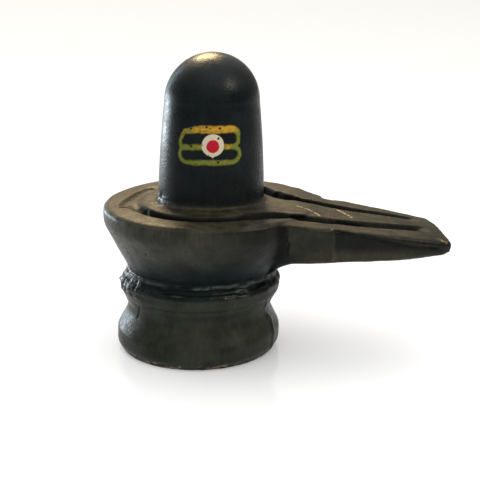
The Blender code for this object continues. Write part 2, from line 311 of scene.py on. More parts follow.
def line_noise(value, size, seed):
    """Smooth noise from -1 to 1 that changes with one value alone."""
    return noise(np.column_stack([value, value * 0, value * 0]), size, seed)


def near_path(points, path):
    """Distance from each point to a broken line, and its place along the line from 0 to 1."""
    path = np.array(path, float)
    spans = np.linalg.norm(np.diff(path, axis=0), axis=1)
    starts = np.concatenate([[0], np.cumsum(spans)])
    best = np.full(len(points), np.inf)
    along = np.zeros(len(points))
    for start, end, span, begun in zip(path, path[1:], spans, starts):
        direction = (end - start) / span
        t = np.clip((points - start) @ direction, 0, span)
        gap = np.linalg.norm(points - start - t[:, None] * direction, axis=1)
        closer = gap < best
        best[closer] = gap[closer]
        along[closer] = (begun + t[closer]) / starts[-1]
    return best, along


class Surface:
    """The piece's mesh as arrays in millimetres, with three colour marks at each point: wear with painted
    highlight, painted shade and painted highlight.
    """

    def __init__(self, obj):
        mesh = obj.data
        self.obj = obj
        self.points = np.empty(len(mesh.vertices) * 3)
        mesh.vertices.foreach_get("co", self.points)
        self.points = self.points.reshape(-1, 3) / MM
        corners = np.empty(len(mesh.polygons) * 4, np.int32)
        mesh.polygons.foreach_get("vertices", corners)
        self.faces = corners.reshape(-1, 4)
        edges = np.empty(len(mesh.edges) * 2, np.int32)
        mesh.edges.foreach_get("vertices", edges)
        self.edges = edges.reshape(-1, 2)
        self.degree = np.bincount(self.edges.ravel(), minlength=len(self.points))
        # Colour marks: wear together with the rim's painted highlight, painted shade, and painted highlight
        self.marks = {name: np.zeros(len(self.points)) for name in ("wear_and_highlight", "painted_shade", "painted_highlight")}
        self.refresh()

    def refresh(self):
        """Works out the normals again after the points have moved."""
        a, b, c, d = (self.points[self.faces[:, i]] for i in range(4))
        facing = np.cross(c - a, d - b)
        total = np.zeros_like(self.points)
        for column in range(4):
            for axis in range(3):
                total[:, axis] += np.bincount(self.faces[:, column], facing[:, axis], len(self.points))
        self.normals = total / np.maximum(np.linalg.norm(total, axis=1), TINY ** 2)[:, None]

    def neighbours_mean(self):
        total = np.zeros_like(self.points)
        first, second = self.edges.T
        for axis in range(3):
            values = self.points[:, axis]
            total[:, axis] += np.bincount(first, values[second], len(values))
            total[:, axis] += np.bincount(second, values[first], len(values))
        return total / self.degree[:, None]

    def smooth(self, rounds, share):
        """Rounds of smoothing that swell back after each shrink, so that the form keeps its size."""
        for _ in range(rounds):
            for step in SMOOTH_STEPS:
                self.points += (self.neighbours_mean() - self.points) * (step * share)[:, None]
        self.refresh()

    def relax(self, rounds, share):
        """Plain smoothing where the share is over a hundredth; it fills hollows and wears ridges down."""
        chosen = np.flatnonzero(share > 0.01)
        place = np.full(len(self.points), -1)
        place[chosen] = np.arange(len(chosen))
        both = np.concatenate([self.edges, self.edges[:, ::-1]])
        both = both[place[both[:, 0]] >= 0]
        target = place[both[:, 0]]
        amount = share[chosen] / np.bincount(target, minlength=len(chosen))
        for _ in range(rounds):
            gaps = self.points[both[:, 1]] - self.points[both[:, 0]]
            for axis in range(3):
                self.points[chosen, axis] += amount * np.bincount(target, gaps[:, axis], len(chosen))
        self.refresh()

    def raise_by(self, height):
        self.points += self.normals * height[:, None]

    def mark(self, name, share):
        """Notes wear with painted highlight, painted shade or painted highlight where the share is more
        than what was noted there.
        """
        self.marks[name] = np.maximum(self.marks[name], share)

    def around(self, axis_x):
        """Distance from an upright axis at axis_x, and the angle about it in degrees, 0 along the spout."""
        x = self.points[:, 0] - axis_x
        y = self.points[:, 1]
        return np.hypot(x, y), np.degrees(np.arctan2(y, x))

    def write(self):
        """Puts the points back on the mesh, none of them outside the solid's own box."""
        mesh = self.obj.data
        low, high = (np.array(corner) / MM for corner in CAD_BOX)
        self.points = np.clip(self.points, low + BOX_MARGIN, high - BOX_MARGIN)
        mesh.vertices.foreach_set("co", (self.points * MM).ravel())
        for name, shares in self.marks.items():
            layer = mesh.attributes.new(name, "FLOAT", "POINT")
            layer.data.foreach_set("value", np.clip(shares, 0, 1).astype(np.float32))
        mesh.update()


def applied(obj):
    """Makes the modified shape the object's own mesh."""
    graph = bpy.context.evaluated_depsgraph_get()
    mesh = bpy.data.meshes.new_from_object(obj.evaluated_get(graph))
    obj.modifiers.clear()
    obj.data = mesh
    return obj


def dense_copy(node):
    """A new object with the node's shape, welded and remeshed finely enough to carve."""
    mesh = node.data.copy()
    bm = bmesh.new()
    bm.from_mesh(mesh)
    bmesh.ops.remove_doubles(bm, verts=bm.verts, dist=WELD)
    bm.to_mesh(mesh)
    bm.free()
    obj = bpy.data.objects.new("lingam_stone", mesh)
    bpy.context.scene.collection.objects.link(obj)
    remesh = obj.modifiers.new("remesh", "REMESH")
    remesh.mode = "VOXEL"
    remesh.voxel_size = VOXEL
    return applied(obj)


def thinned(obj):
    """Fewer triangles where the surface is plain, inside the limit for one piece."""
    count = 2 * len(obj.data.polygons)
    thin = obj.modifiers.new("thin", "DECIMATE")
    thin.ratio = min(1.0, MOST_TRIANGLES / count)
    return applied(obj)


def turned_axis(height):
    """X of the axis that the turned shapes follow: the foot's, the slanting bowl's, then the disc's."""
    foot = RING_DRIFT * np.clip(height / RING_HEIGHT, 0, 1)
    slant = np.clip((BOWL_SHOULDER - height) / (BOWL_SHOULDER - BOWL_FOOT), 0, 1)
    return np.where(height < BOWL_FOOT, foot, DISC_AXIS - BOWL_FOOT_SHIFT * slant)


def round_off_sides(shape):
    """Swells the flats between a turned shape's sides back to true circles."""
    height = shape.points[:, 2]
    axis = turned_axis(height)
    x = shape.points[:, 0] - axis
    y = shape.points[:, 1]
    side = 2 * math.pi / TURN_SIDES
    from_middle = np.mod(np.arctan2(y, x), side) - side / 2
    swell = np.cos(from_middle) / math.cos(side / 2)
    shape.points[:, 0] = axis + x * swell
    shape.points[:, 1] = y * swell


def true_lingam(shape):
    """Puts the shaft and the dome on their smooth curves."""
    height = shape.points[:, 2]
    axis = DISC_AXIS + SHAFT_LEAN * (height - DISC_TOP)
    radius, _ = shape.around(axis)
    on_shaft = (height > SHAFT_FOOT) & (radius < SHAFT_RADIUS + 1)
    down = np.clip((DOME_SPRING - height) / (DOME_SPRING - SHAFT_FOOT), 0, 1)
    swell = 1 - (1 - down) ** SHAFT_SWELL_POWER
    wanted = SHAFT_TOP_RADIUS + (SHAFT_RADIUS - SHAFT_TOP_RADIUS) * swell
    scale = np.where(on_shaft & (height <= DOME_SPRING), wanted / np.maximum(radius, TINY), 1.0)
    shape.points[:, 0] = axis + (shape.points[:, 0] - axis) * scale
    shape.points[:, 1] *= scale
    on_dome = on_shaft & (height > DOME_SPRING)
    rise = (height - DOME_SPRING) / DOME_HEIGHT
    reach = np.hypot(radius / SHAFT_TOP_RADIUS, rise)
    grow = np.where(on_dome, 1 / np.maximum(reach, TINY), 1.0)
    shape.points[:, 0] = axis + (shape.points[:, 0] - axis) * grow
    shape.points[:, 1] *= grow
    shape.points[:, 2] = np.where(on_dome, DOME_SPRING + (height - DOME_SPRING) * grow, height)


def soften_form(shape):
    """Smooths the remeshing away everywhere, and the fillets' flats on the broad faces."""
    shape.smooth(FIRST_ROUNDS, np.ones(len(shape.points)))
    height = shape.points[:, 2]
    foot = 1 - blend(height, *FOOT_FACE)
    bowl = band(height, *BOWL_FACE, soft=2.0) * (1 - blend(shape.points[:, 0], *BOWL_END))
    shape.smooth(BROAD_ROUNDS, np.maximum(foot, bowl) * blend(height, *UNDERSIDE_EDGE))
    true_lingam(shape)
    shape.refresh()


def leg_line(leg, count=12):
    """Points in plan along one leg of the channel, from the bowl out, bowed towards -Y."""
    start, end, bow = leg
    out = np.linspace(0, 1, count)
    x = start[0] + (end[0] - start[0]) * out
    y = start[1] + (end[1] - start[1]) * out - 4 * bow * out * (1 - out)
    return np.column_stack([x, y])


def bend_line(start, corner, end, count=5):
    """Points in plan along the bend between a leg and the ring, without its two ends."""
    t = np.linspace(0, 1, count)[1:-1, None]
    start, corner, end = (np.array(point) for point in (start, corner, end))
    return (1 - t) ** 2 * start + 2 * t * (1 - t) * corner + t ** 2 * end


def channel_line(ring_count=40):
    """The channel's centre line in plan, from the near leg's end round the collar to the far leg's end."""
    turn = np.radians(np.linspace(NEAR_ARC_ANGLE, FAR_ARC_ANGLE, ring_count))
    ring = np.array(CHANNEL_MIDDLE) + CHANNEL_RADIUS * np.column_stack([np.cos(turn), np.sin(turn)])
    near = leg_line(NEAR_LEG)[::-1]
    far = leg_line(FAR_LEG)
    near_bend = bend_line(near[-1], NEAR_BEND, ring[0])
    far_bend = bend_line(ring[-1], FAR_BEND, far[0])
    return np.vstack([near, near_bend, ring, far_bend, far])


def channel_gap(shape):
    """Distance in plan from the channel's centre line, and the place along it; far off below the disc."""
    gap = np.full(len(shape.points), FAR_OFF)
    along = np.zeros(len(shape.points))
    top = np.flatnonzero(shape.points[:, 2] > CHANNEL_LOWEST)
    gap[top], along[top] = near_path(shape.points[top, :2], channel_line())
    return gap, along


def sweep_joints(shape):
    """Fills the crease between the bowl and each side of the spout with a soft concave sweep."""
    near, _ = near_path(shape.points, NEAR_JOINT)
    far, _ = near_path(shape.points, FAR_JOINT)
    share = soft_line(np.minimum(near, far), SWEEP_REACH) * (1 - blend(shape.points[:, 2], *SWEEP_TOP))
    shape.relax(SWEEP_ROUNDS, np.where(share > LEAST_SWEEP, share, 0))


def level_root(shape):
    """Wears away the disc's rim where it crosses the spout's top, between the grooves and outside them."""
    x, y, height = shape.points.T
    gap, _ = channel_gap(shape)
    share = band(x, *ROOT_RUN, soft=2.0) * blend(gap, *ROOT_OFF_CHANNEL) * blend(height, *DISC_FACE)
    share = share * (gap < FAR_OFF)
    share *= band(y, *ROOT_SPREAD, soft=1.5) * blend(shape.normals[:, 2], *ROOT_FACING)
    shape.relax(ROOT_ROUNDS, share)


def sharpen_channel(shape):
    """Deepens the channel to a crisp cut, and notes painted shade for its inside and for the crease of the
    near joint.
    """
    gap, along = channel_gap(shape)
    from_middle = shape.points[:, :2] - np.array(CHANNEL_MIDDLE)
    angle = np.degrees(np.arctan2(from_middle[:, 1], from_middle[:, 0]))
    shallow = np.maximum(blend(angle, *SHALLOW_START), 1 - blend(angle, *SHALLOW_END))
    on_ring = band(along, *ON_RING, soft=0.01)
    ends = blend(along, 0.0, LEG_END) * (1 - blend(along, 1 - LEG_END, 1.0))
    there = ends * (1 - shallow * on_ring)
    filled = SHALLOW_FILLING * (1 - blend(gap, *SHALLOW_REACH)) * shallow * on_ring
    shape.relax(SHALLOW_ROUNDS, filled * blend(shape.points[:, 2], *DISC_FACE))
    at_bend = np.maximum(band(along, *AT_NEAR_BEND, soft=0.02), band(along, *AT_FAR_BEND, soft=0.02))
    gap = gap / (1 + BEND_WIDENING * at_bend)
    shape.points[:, 2] -= GROOVE_DEEPENING * (1 - blend(gap, *CUT_EDGE)) * there
    shape.refresh()
    # Painted shade: the channel's inside and the near joint's crease are coloured dark as if in shadow
    shape.mark("painted_shade", (1 - blend(gap, *SHADE_EDGE)) * there)
    joint_gap, _ = near_path(shape.points, JOINT_SHADE_LINE)
    shape.mark("painted_shade", 0.9 * (1 - blend(joint_gap, 0.8, 2.6)))


def handwork(shape):
    """Slow unevenness of a hand-finished casting, less on the rubbed shaft."""
    height = shape.points[:, 2]
    uneven = sum(rise * noise(shape.points, size, seed) for rise, size, seed in UNEVENNESS)
    shape.raise_by(uneven * ((1 - SHAFT_CALM * blend(height, *CALM_START)) * blend(height, *FLOOR_CALM)))
    shape.refresh()


def groove(shape, path, depth, width, taper=0.15):
    """Presses a soft groove along a path, fading at its ends; a negative depth raises a ridge."""
    gap, along = near_path(shape.points, path)
    ends = blend(along, 0, taper) * (1 - blend(along, 1 - taper, 1))
    shape.raise_by(-depth * soft_line(gap, width) * ends)


def spot_gap(shape, centre):
    return np.linalg.norm(shape.points - np.array(centre), axis=1)


def blob(shape, centre, size, height):
    """Raises a soft lump, or presses a soft dent where the height is negative."""
    shape.raise_by(height * soft_line(spot_gap(shape, centre), size))


def collar_lumps(shape):
    """Uneven filler round the shaft's foot, roughest on the left, and beads where the channel starts, with
    painted highlights on the left lumps and the beads.
    """
    height = shape.points[:, 2]
    radius, angle = shape.around(DISC_AXIS)
    on_collar = band(radius, *COLLAR_RADII, soft=1.0) * band(height, *COLLAR_HEIGHTS, soft=1.0)
    left = band(angle, *COLLAR_ROUGH_ANGLES, soft=10)
    rough = noise(shape.points, size=2.0, seed=11) + 0.3 * noise(shape.points, size=1.0, seed=12)
    shape.raise_by(on_collar * (COLLAR_LUMP + COLLAR_LEFT_LUMP * left) * rough)
    # Painted highlight on the crests of the left lumps
    shape.mark("painted_highlight", on_collar * left * blend(rough, 0.0, 0.7))
    gap, _ = channel_gap(shape)
    in_channel = (1 - blend(gap, *BEAD_EDGE)) * (height > BEAD_LOWEST)
    start = band(angle, *BEAD_ANGLES, soft=6)
    bead = noise(shape.points, size=1.7, seed=13)
    shape.raise_by(in_channel * (BEAD_HEIGHT + BEAD_START_HEIGHT * start) * bead)
    # Painted highlight on the beads
    shape.mark("painted_highlight", 0.7 * in_channel * start * blend(bead, 0.25, 0.7))
    shape.refresh()


def recess_crack(shape):
    """The line round the shallow recess, and the crack from it into the channel's start on the left, both
    with painted shade, and gold flecks of bare stone.
    """
    groove(shape, RECESS_LINE, depth=0.65, width=1.0, taper=0.08)
    groove(shape, CRACK_LINE, depth=0.60, width=0.50)
    # Painted shade along the recess line and in the crack
    for path, width, dark in ((RECESS_LINE, 0.9, 0.55), (CRACK_LINE, 0.65, 1.0)):
        gap, along = near_path(shape.points[:, :2], np.array(path)[:, :2])
        line = soft_line(gap, width) * (shape.points[:, 2] > RECESS_LOWEST) * blend(along, 0, 0.1)
        shape.mark("painted_shade", dark * line)
    for fleck in GOLD_FLECKS:
        shape.mark("wear_and_highlight", 0.8 * soft_line(spot_gap(shape, fleck), FLECK_SIZE))
    shape.refresh()


def waist(shape):
    """Ragged cut under the bowl: stringy lines round it, and lumps that bridge it on the left, with painted
    highlights on the lumps, the strings and the bowl's bottom edge.
    """
    height = shape.points[:, 2]
    radius, angle = shape.around(turned_axis(height))
    strings = noise(np.column_stack([angle, height, radius]) * np.array(CUT_STRETCH), size=3.0, seed=21)
    in_cut = band(height, *CUT_HEIGHTS, soft=0.5) * (radius < WAIST_REACH)
    ragged = CUT_FILLING + CUT_STRINGS * strings + CUT_GRAIN * noise(shape.points, size=1.1, seed=26)
    shape.raise_by(in_cut * (ragged + CUT_UPPER_FILLING * blend(height, *CUT_UPPER_HEIGHTS)))
    left = band(angle, *WAIST_LUMP_ANGLES, soft=8)
    lumpy = noise(shape.points, size=2.4, seed=22) + 0.5 * noise(shape.points, size=1.2, seed=23)
    at_left = left * band(height, *WAIST_LUMP_HEIGHTS, soft=0.8) * (radius < WAIST_REACH)
    shape.raise_by(at_left * (WAIST_LUMP_FILLING + WAIST_LUMP * lumpy))
    # Painted highlight on the lumps
    shape.mark("painted_highlight", WAIST_LUMP_PALE * at_left * blend(lumpy, *WAIST_LUMP_EDGE))
    foot_edge = BOWL_FOOT + BOWL_LINE_LIFT + BOWL_LINE_WANDER * line_noise(angle, size=9.0, seed=24)
    line = soft_line(height - foot_edge, BOWL_LINE_WIDTH)
    line = line * (radius > BOWL_LINE_RADIUS) * (radius < WAIST_REACH)
    broken = blend(line_noise(angle, size=5.0, seed=25), *BOWL_LINE_BREAKS)
    front = band(angle, *WAIST_FRONT_ANGLES, soft=10)
    shape.raise_by(BOWL_LINE_RIDGE * line * broken * front)
    # Painted highlight along the bowl's bottom edge, and on the strings
    shape.mark("painted_highlight", BOWL_LINE_PALE * line * broken * front)
    shape.mark("painted_highlight", STRING_PALE * (in_cut * blend(strings, *STRING_EDGE) * front))
    shape.refresh()


def ring_and_flare(shape):
    """The faint line under the ring, the crack on the left and the crease on the right."""
    height = shape.points[:, 2]
    radius, angle = shape.around(turned_axis(height))
    wander = RING_LINE_WANDER * line_noise(angle, size=22.0, seed=31)
    line = soft_line(height - RING_LINE_HEIGHT - wander, 0.55)
    line = line * band(angle, *RING_LINE_ANGLES, soft=15) * (radius < WAIST_REACH)
    shape.raise_by(-RING_LINE_DEPTH * line)
    groove(shape, FLARE_CRACK, depth=0.45, width=0.32)
    groove(shape, FLARE_CREASE, depth=-0.42, width=1.1, taper=0.05)
    shape.refresh()


def spout_side(shape):
    """Tool work on the spout's near side: chamfer, ridge, the panel that the colour shades dark, crease and
    root, with painted shade along the crease and the root's edge.
    """
    x, y, height = shape.points.T
    near = blend(-shape.normals[:, 1], *NEAR_FACING) * blend(y, *NEAR_FROM)
    chamfer = band(x, *CHAMFER_RUN, soft=0.6) * band(height, *CHAMFER_HEIGHTS, soft=0.8)
    low, high = CHAMFER_HEIGHTS
    shape.raise_by(-CHAMFER_DEPTH * near * chamfer * (height - low) / (high - low))
    ridge = soft_line(x - RIDGE_PLACE, 0.55) * band(height, *RIDGE_HEIGHTS, soft=1.0)
    shape.raise_by(RIDGE_RISE * near * ridge)
    top = PANEL_CORNER[1] - PANEL_SLOPE * (x - PANEL_CORNER[0])
    panel = blend(x, *PANEL_START) * (1 - blend(x, *PANEL_END))
    panel = panel * (1 - blend(height, top - PANEL_TOP_FADE, top)) * blend(height, *PANEL_BOTTOM)
    shape.raise_by(-PANEL_DEPTH * near * panel)
    groove(shape, SPOUT_CREASE, depth=0.55, width=0.8, taper=0.1)
    gap, along = near_path(shape.points, SPOUT_CREASE)
    # Painted shade in the crease
    shape.mark("painted_shade", 0.7 * soft_line(gap, 0.7) * blend(along, 0, 0.15))
    root_edge = ROOT_EDGE_PLACE + ROOT_EDGE_WANDER * line_noise(height, size=1.3, seed=71)
    root_line = near * soft_line(x - root_edge, 0.4) * band(height, *ROOT_EDGE_HEIGHTS, soft=0.8)
    shape.raise_by(-ROOT_EDGE_DEPTH * root_line)
    # Painted shade along the root's edge
    shape.mark("painted_shade", 0.9 * root_line)
    shape.refresh()


def spout_tip(shape):
    """The worn facet on the tip, the lump below it and the notch in the far edge."""
    blob(shape, TIP_FACET, size=2.2, height=-TIP_WORK)
    blob(shape, TIP_LUMP, size=1.5, height=TIP_WORK)
    x, y, height = shape.points.T
    notch = blend(y, *NOTCH_SIDE) * blend(x, *NOTCH_START) * (1 - blend(x, *NOTCH_END))
    shape.raise_by(-NOTCH_DEPTH * (notch * blend(height, *NOTCH_HEIGHTS)))
    gap, _ = near_path(shape.points, TIP_WEAR)
    shape.mark("wear_and_highlight", 0.55 * soft_line(gap, 1.5))
    shape.refresh()


def pits(shape):
    for centre in PITS:
        blob(shape, centre, PIT_SIZE, -PIT_SIZE)
    shape.refresh()


def worn_edge(shape):
    """Chips along the bottom edge, down to the pale stone."""
    height = shape.points[:, 2]
    _, angle = shape.around(0.0)
    at_edge = (1 - blend(height, *CHIP_HEIGHTS)) * blend(height, *CHIP_UNDERSIDE)
    uneven = noise(shape.points, size=2.3, seed=41) + 0.5 * noise(shape.points, size=1.0, seed=42)
    chipped = blend(uneven, -0.05, 0.35)
    front = CHIP_LEAST + (1 - CHIP_LEAST) * band(angle, *CHIP_FRONT_ANGLES, soft=12)
    shape.raise_by(-CHIP_DEPTH * at_edge * chipped * front)
    shape.mark("wear_and_highlight", at_edge * chipped * front)
    shape.refresh()


def rim_highlights(shape):
    """Painted highlights on the disc's rounded edge: a golden line of bare-stone colour along the front
    left, and a pale bluish edge on the far left.
    """
    height = shape.points[:, 2]
    radius, angle = shape.around(DISC_AXIS)
    line = soft_line(radius - GOLD_LINE_RADIUS, 0.32) * blend(height, *GOLD_LINE_HEIGHTS)
    # Painted highlight: the golden line where the rounded edge catches the light
    shape.mark("wear_and_highlight", 0.40 * line * band(angle, *GOLD_LINE_ANGLES, soft=12))
    edge = soft_line(radius - PALE_EDGE_RADIUS, 0.55) * blend(height, *DISC_FACE)
    left = np.maximum(band(angle, *PALE_EDGE_ANGLES, soft=10), band(angle, *PALE_EDGE_OTHER_ANGLES, soft=6))
    shape.mark("painted_highlight", 0.5 * edge * left)


def scratches(shape):
    """Two fine golden scratches across the tongue."""
    for path in SCRATCHES:
        gap, _ = near_path(shape.points[:, :2], path)
        broken = blend(noise(shape.points, size=0.9, seed=61), -0.7, -0.1)
        line = soft_line(gap, SCRATCH_WIDTH) * (shape.points[:, 2] > SCRATCH_LOWEST) * broken
        shape.mark("wear_and_highlight", SCRATCH_WEAR * line)
        shape.raise_by(-SCRATCH_DEPTH * line)
    shape.refresh()


def carved_stone():
    """The whole stone: a dense copy of the solid, made true, carved and worn."""
    obj = dense_copy(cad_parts[NODE])
    shape = Surface(obj)
    for form in (round_off_sides, soften_form, sweep_joints, level_root, sharpen_channel):
        form(shape)
    for carve in (handwork, collar_lumps, recess_crack, waist, ring_and_flare, spout_side, spout_tip, pits):
        carve(shape)
    for wear in (worn_edge, rim_highlights, scratches):
        wear(shape)
    shape.write()
    thinned(obj)
    obj.data.shade_smooth()
    return obj


# Sockets of a Mix node that mixes colours
MIX_SHARE = 0
MIX_FIRST = 6
MIX_SECOND = 7
MIX_RESULT = 2


class Nodes:
    """Short calls for building a node tree."""

    def __init__(self, tree):
        self.tree = tree

    def add(self, kind, **inputs):
        node = self.tree.nodes.new(kind)
        for name, value in inputs.items():
            self.put(node.inputs[name.replace("_", " ")], value)
        return node

    def put(self, socket, value):
        if isinstance(value, bpy.types.NodeSocket):
            self.tree.links.new(value, socket)
        else:
            socket.default_value = value

    def math(self, operation, first, second=0.0, third=0.0):
        node = self.tree.nodes.new("ShaderNodeMath")
        node.operation = operation
        for socket, value in zip(node.inputs, (first, second, third)):
            self.put(socket, value)
        return node.outputs[0]

    def times(self, first, second):
        return self.math("MULTIPLY", first, second)

    def plus(self, first, second):
        return self.math("ADD", first, second)

    def minus(self, first, second):
        return self.math("SUBTRACT", first, second)

    def size_of(self, value):
        return self.math("ABSOLUTE", value)

    def distance(self, first, second):
        """Length of the line whose two legs are given."""
        return self.math("SQRT", self.plus(self.times(first, first), self.times(second, second)))

    def ease(self, value, start, end, low=0.0, high=1.0):
        """low before start and high after end, with a smooth step between them."""
        node = self.add("ShaderNodeMapRange", From_Min=start, From_Max=end, To_Min=low, To_Max=high)
        node.interpolation_type = "SMOOTHSTEP"
        self.put(node.inputs["Value"], value)
        return node.outputs["Result"]

    def noise(self, vector, size, detail=2.0):
        """Noise of about 0 to 1 whose lumps have the given size in millimetres."""
        node = self.add("ShaderNodeTexNoise", Vector=vector, Scale=1 / (size * MM), Detail=detail)
        return node.outputs["Fac"]

    def attribute(self, name):
        node = self.tree.nodes.new("ShaderNodeAttribute")
        node.attribute_name = name
        return node.outputs["Fac"]

    def mix(self, share, first, second, kind="MIX"):
        node = self.tree.nodes.new("ShaderNodeMix")
        node.data_type = "RGBA"
        node.blend_type = kind
        self.put(node.inputs[MIX_SHARE], share)
        self.put(node.inputs[MIX_FIRST], first)
        self.put(node.inputs[MIX_SECOND], second)
        return node.outputs[MIX_RESULT]


def new_material(name):
    """A material, its nodes and its shader."""
    material = bpy.data.materials.new(name)
    material.use_nodes = True
    return material, Nodes(material.node_tree), material.node_tree.nodes["Principled BSDF"]


def colour(red, green, blue):
    """A linear colour from the 0 to 255 values that a screen shows."""
    def linear(value):
        value /= 255
        return value / 12.92 if value <= 0.04045 else ((value + 0.055) / 1.055) ** 2.4
    return (linear(red), linear(green), linear(blue), 1)


# Painted mark, in millimetres on the shaft's wall: across from its middle, and height.
# A loop is its half width, its half height and the height of its middle.
MARK_ANGLE = math.radians(-85.3)
DOT_ANGLE = math.radians(-81.4)
MARK_RADIUS = 16.9
MARK_REACH = (15.0, 14.0)
UPPER_LOOP = (9.9, 2.8, 76.2)
LOWER_LOOP = (10.1, 2.5, 70.9)
LOOP_CORNER = 2.45
BOTTOM_STROKE = 1.95
TOP_STROKE = 2.6
STROKE_CHANGE = (76.5, 78.2)
THIN_MIDDLE = 1.5
THIN_SPAN = (4.0, 10.5)
THINNING = 0.22
DROOP_START = -2.0
LEFT_DROOP = 0.022
DOT_HEIGHT = 74.0
WHITE_RADIUS = 3.6
WHITE_POINT = 4.05
WHITE_POINT_SLOPE = 0.82
WHITE_POINT_START = 1.5
WHITE_POINT_EDGE = 0.75
RED_RADIUS = 2.1
RED_DROP = 0.35
BRUSH_WANDER = 0.5
DOT_WANDER = 0.35
RAGGED_EDGE = 0.5
PAINT_EDGE = 0.16
PAINT_CHIPS = ((2.9, 76.2), (-1.0, 79.9), (3.4, 79.4), (-6.2, 79.2), (-6.0, 73.6), (2.8, 68.5))
CHIP_EDGE = (0.50, 0.30)

# How far the bars' paint turns from olive to yellow: more with height and to the right, up to an edge
WARM_HEIGHT = 73.5
WARM_THERE = 0.30
WARM_RISE = 0.075
WARM_RIGHTWARD = 0.034
WARM_EDGE = 6.0
WARM_PAST_EDGE = -0.20
STREAK_STRETCH = 3.0
STREAK_SCALE = 0.55
STREAK_STRENGTH = 2.2

OLIVE_PAINT = colour(102, 110, 42)
YELLOW_PAINT = colour(180, 134, 38)
WHITE_PAINT = colour(190, 182, 160)
RED_PAINT = colour(166, 24, 44)


def wall_coordinates(nodes, position):
    """Millimetres across the shaft's wall from the mark's middle, the same from the dot's, and height."""
    parts = nodes.add("ShaderNodeSeparateXYZ", Vector=position)
    height = nodes.math("DIVIDE", parts.outputs["Z"], MM)
    lean = nodes.math("MULTIPLY_ADD", height, SHAFT_LEAN, DISC_AXIS - SHAFT_LEAN * DISC_TOP)
    x = nodes.minus(nodes.math("DIVIDE", parts.outputs["X"], MM), lean)
    y = nodes.math("DIVIDE", parts.outputs["Y"], MM)
    angle = nodes.math("ARCTAN2", y, x)
    across = nodes.times(nodes.minus(angle, MARK_ANGLE), MARK_RADIUS)
    across_dot = nodes.times(nodes.minus(angle, DOT_ANGLE), MARK_RADIUS)
    return across, across_dot, height


def loop_distance(nodes, across, height, loop):
    """Distance from the line of a loop with rounded corners."""
    half_width, half_height, middle = loop
    dx = nodes.minus(nodes.size_of(across), half_width - LOOP_CORNER)
    dy = nodes.minus(nodes.size_of(nodes.minus(height, middle)), half_height - LOOP_CORNER)
    outside = nodes.distance(nodes.math("MAXIMUM", dx, 0.0), nodes.math("MAXIMUM", dy, 0.0))
    inside = nodes.math("MINIMUM", nodes.math("MAXIMUM", dx, dy), 0.0)
    return nodes.size_of(nodes.minus(nodes.plus(outside, inside), LOOP_CORNER))


def bar_paint(nodes, across, height):
    """The bars' colour: olive, streaked with yellow towards the top and the right."""
    warm = nodes.math("MULTIPLY_ADD", nodes.minus(height, WARM_HEIGHT), WARM_RISE, WARM_THERE)
    warm = nodes.math("MULTIPLY_ADD", across, WARM_RIGHTWARD, warm)
    past = nodes.math("MAXIMUM", nodes.minus(across, WARM_EDGE), 0.0)
    warm = nodes.math("MULTIPLY_ADD", past, WARM_PAST_EDGE, warm)
    stretched = nodes.times(height, STREAK_STRETCH)
    place = nodes.add("ShaderNodeCombineXYZ", X=across, Y=stretched).outputs["Vector"]
    streaks = nodes.add("ShaderNodeTexNoise", Vector=place, Scale=STREAK_SCALE, Detail=3.0)
    streak = nodes.times(nodes.minus(streaks.outputs["Fac"], 0.5), STREAK_STRENGTH)
    return nodes.mix(nodes.ease(nodes.plus(warm, streak), 0.1, 1.0), OLIVE_PAINT, YELLOW_PAINT)


def bar_cover(nodes, across, height, wander, ragged, front):
    """How far the bars' paint covers the stone: two joined loops, thinner at the sides and edges."""
    brushed_height = nodes.minus(height, wander)
    leftward = nodes.math("MAXIMUM", nodes.minus(DROOP_START, across), 0.0)
    drooped = nodes.math("MULTIPLY_ADD", nodes.math("POWER", leftward, 2.0), LEFT_DROOP, brushed_height)
    brushed_across = nodes.plus(across, wander)
    upper = loop_distance(nodes, brushed_across, drooped, UPPER_LOOP)
    lower = loop_distance(nodes, brushed_across, brushed_height, LOWER_LOOP)
    line = nodes.plus(nodes.math("MINIMUM", upper, lower), ragged)
    stroke = nodes.ease(height, *STROKE_CHANGE, low=BOTTOM_STROKE / 2, high=TOP_STROKE / 2)
    sideways = nodes.size_of(nodes.minus(across, THIN_MIDDLE))
    stroke = nodes.minus(stroke, nodes.ease(sideways, *THIN_SPAN, low=0.0, high=THINNING))
    over = nodes.minus(line, stroke)
    bars = nodes.times(nodes.ease(over, PAINT_EDGE, -PAINT_EDGE), front)
    return nodes.times(bars, nodes.ease(over, -0.10, -0.55, low=0.45, high=1.0))


def white_cover(nodes, dot_across, off, front):
    """The white dot, drawn out to a point below."""
    disc = nodes.minus(nodes.distance(dot_across, off), WHITE_RADIUS)
    slope = nodes.times(nodes.size_of(dot_across), WHITE_POINT_SLOPE)
    point = nodes.minus(nodes.minus(slope, off), WHITE_POINT)
    point = nodes.math("MAXIMUM", point, nodes.plus(off, WHITE_POINT_START))
    gap = nodes.math("MINIMUM", disc, nodes.times(point, WHITE_POINT_EDGE))
    return nodes.times(nodes.ease(gap, PAINT_EDGE, -PAINT_EDGE), front)


def paint_chips(nodes, position, across, height, ragged):
    """Where paint has come off: a scatter of specks, and the larger chips."""
    chips = nodes.ease(nodes.noise(position, size=0.7), 0.68, 0.72)
    for chip_across, chip_height in PAINT_CHIPS:
        away_x = nodes.plus(nodes.minus(across, chip_across), ragged)
        away_z = nodes.minus(height, chip_height)
        chips = nodes.math("MAXIMUM", chips, nodes.ease(nodes.distance(away_x, away_z), *CHIP_EDGE))
    return chips


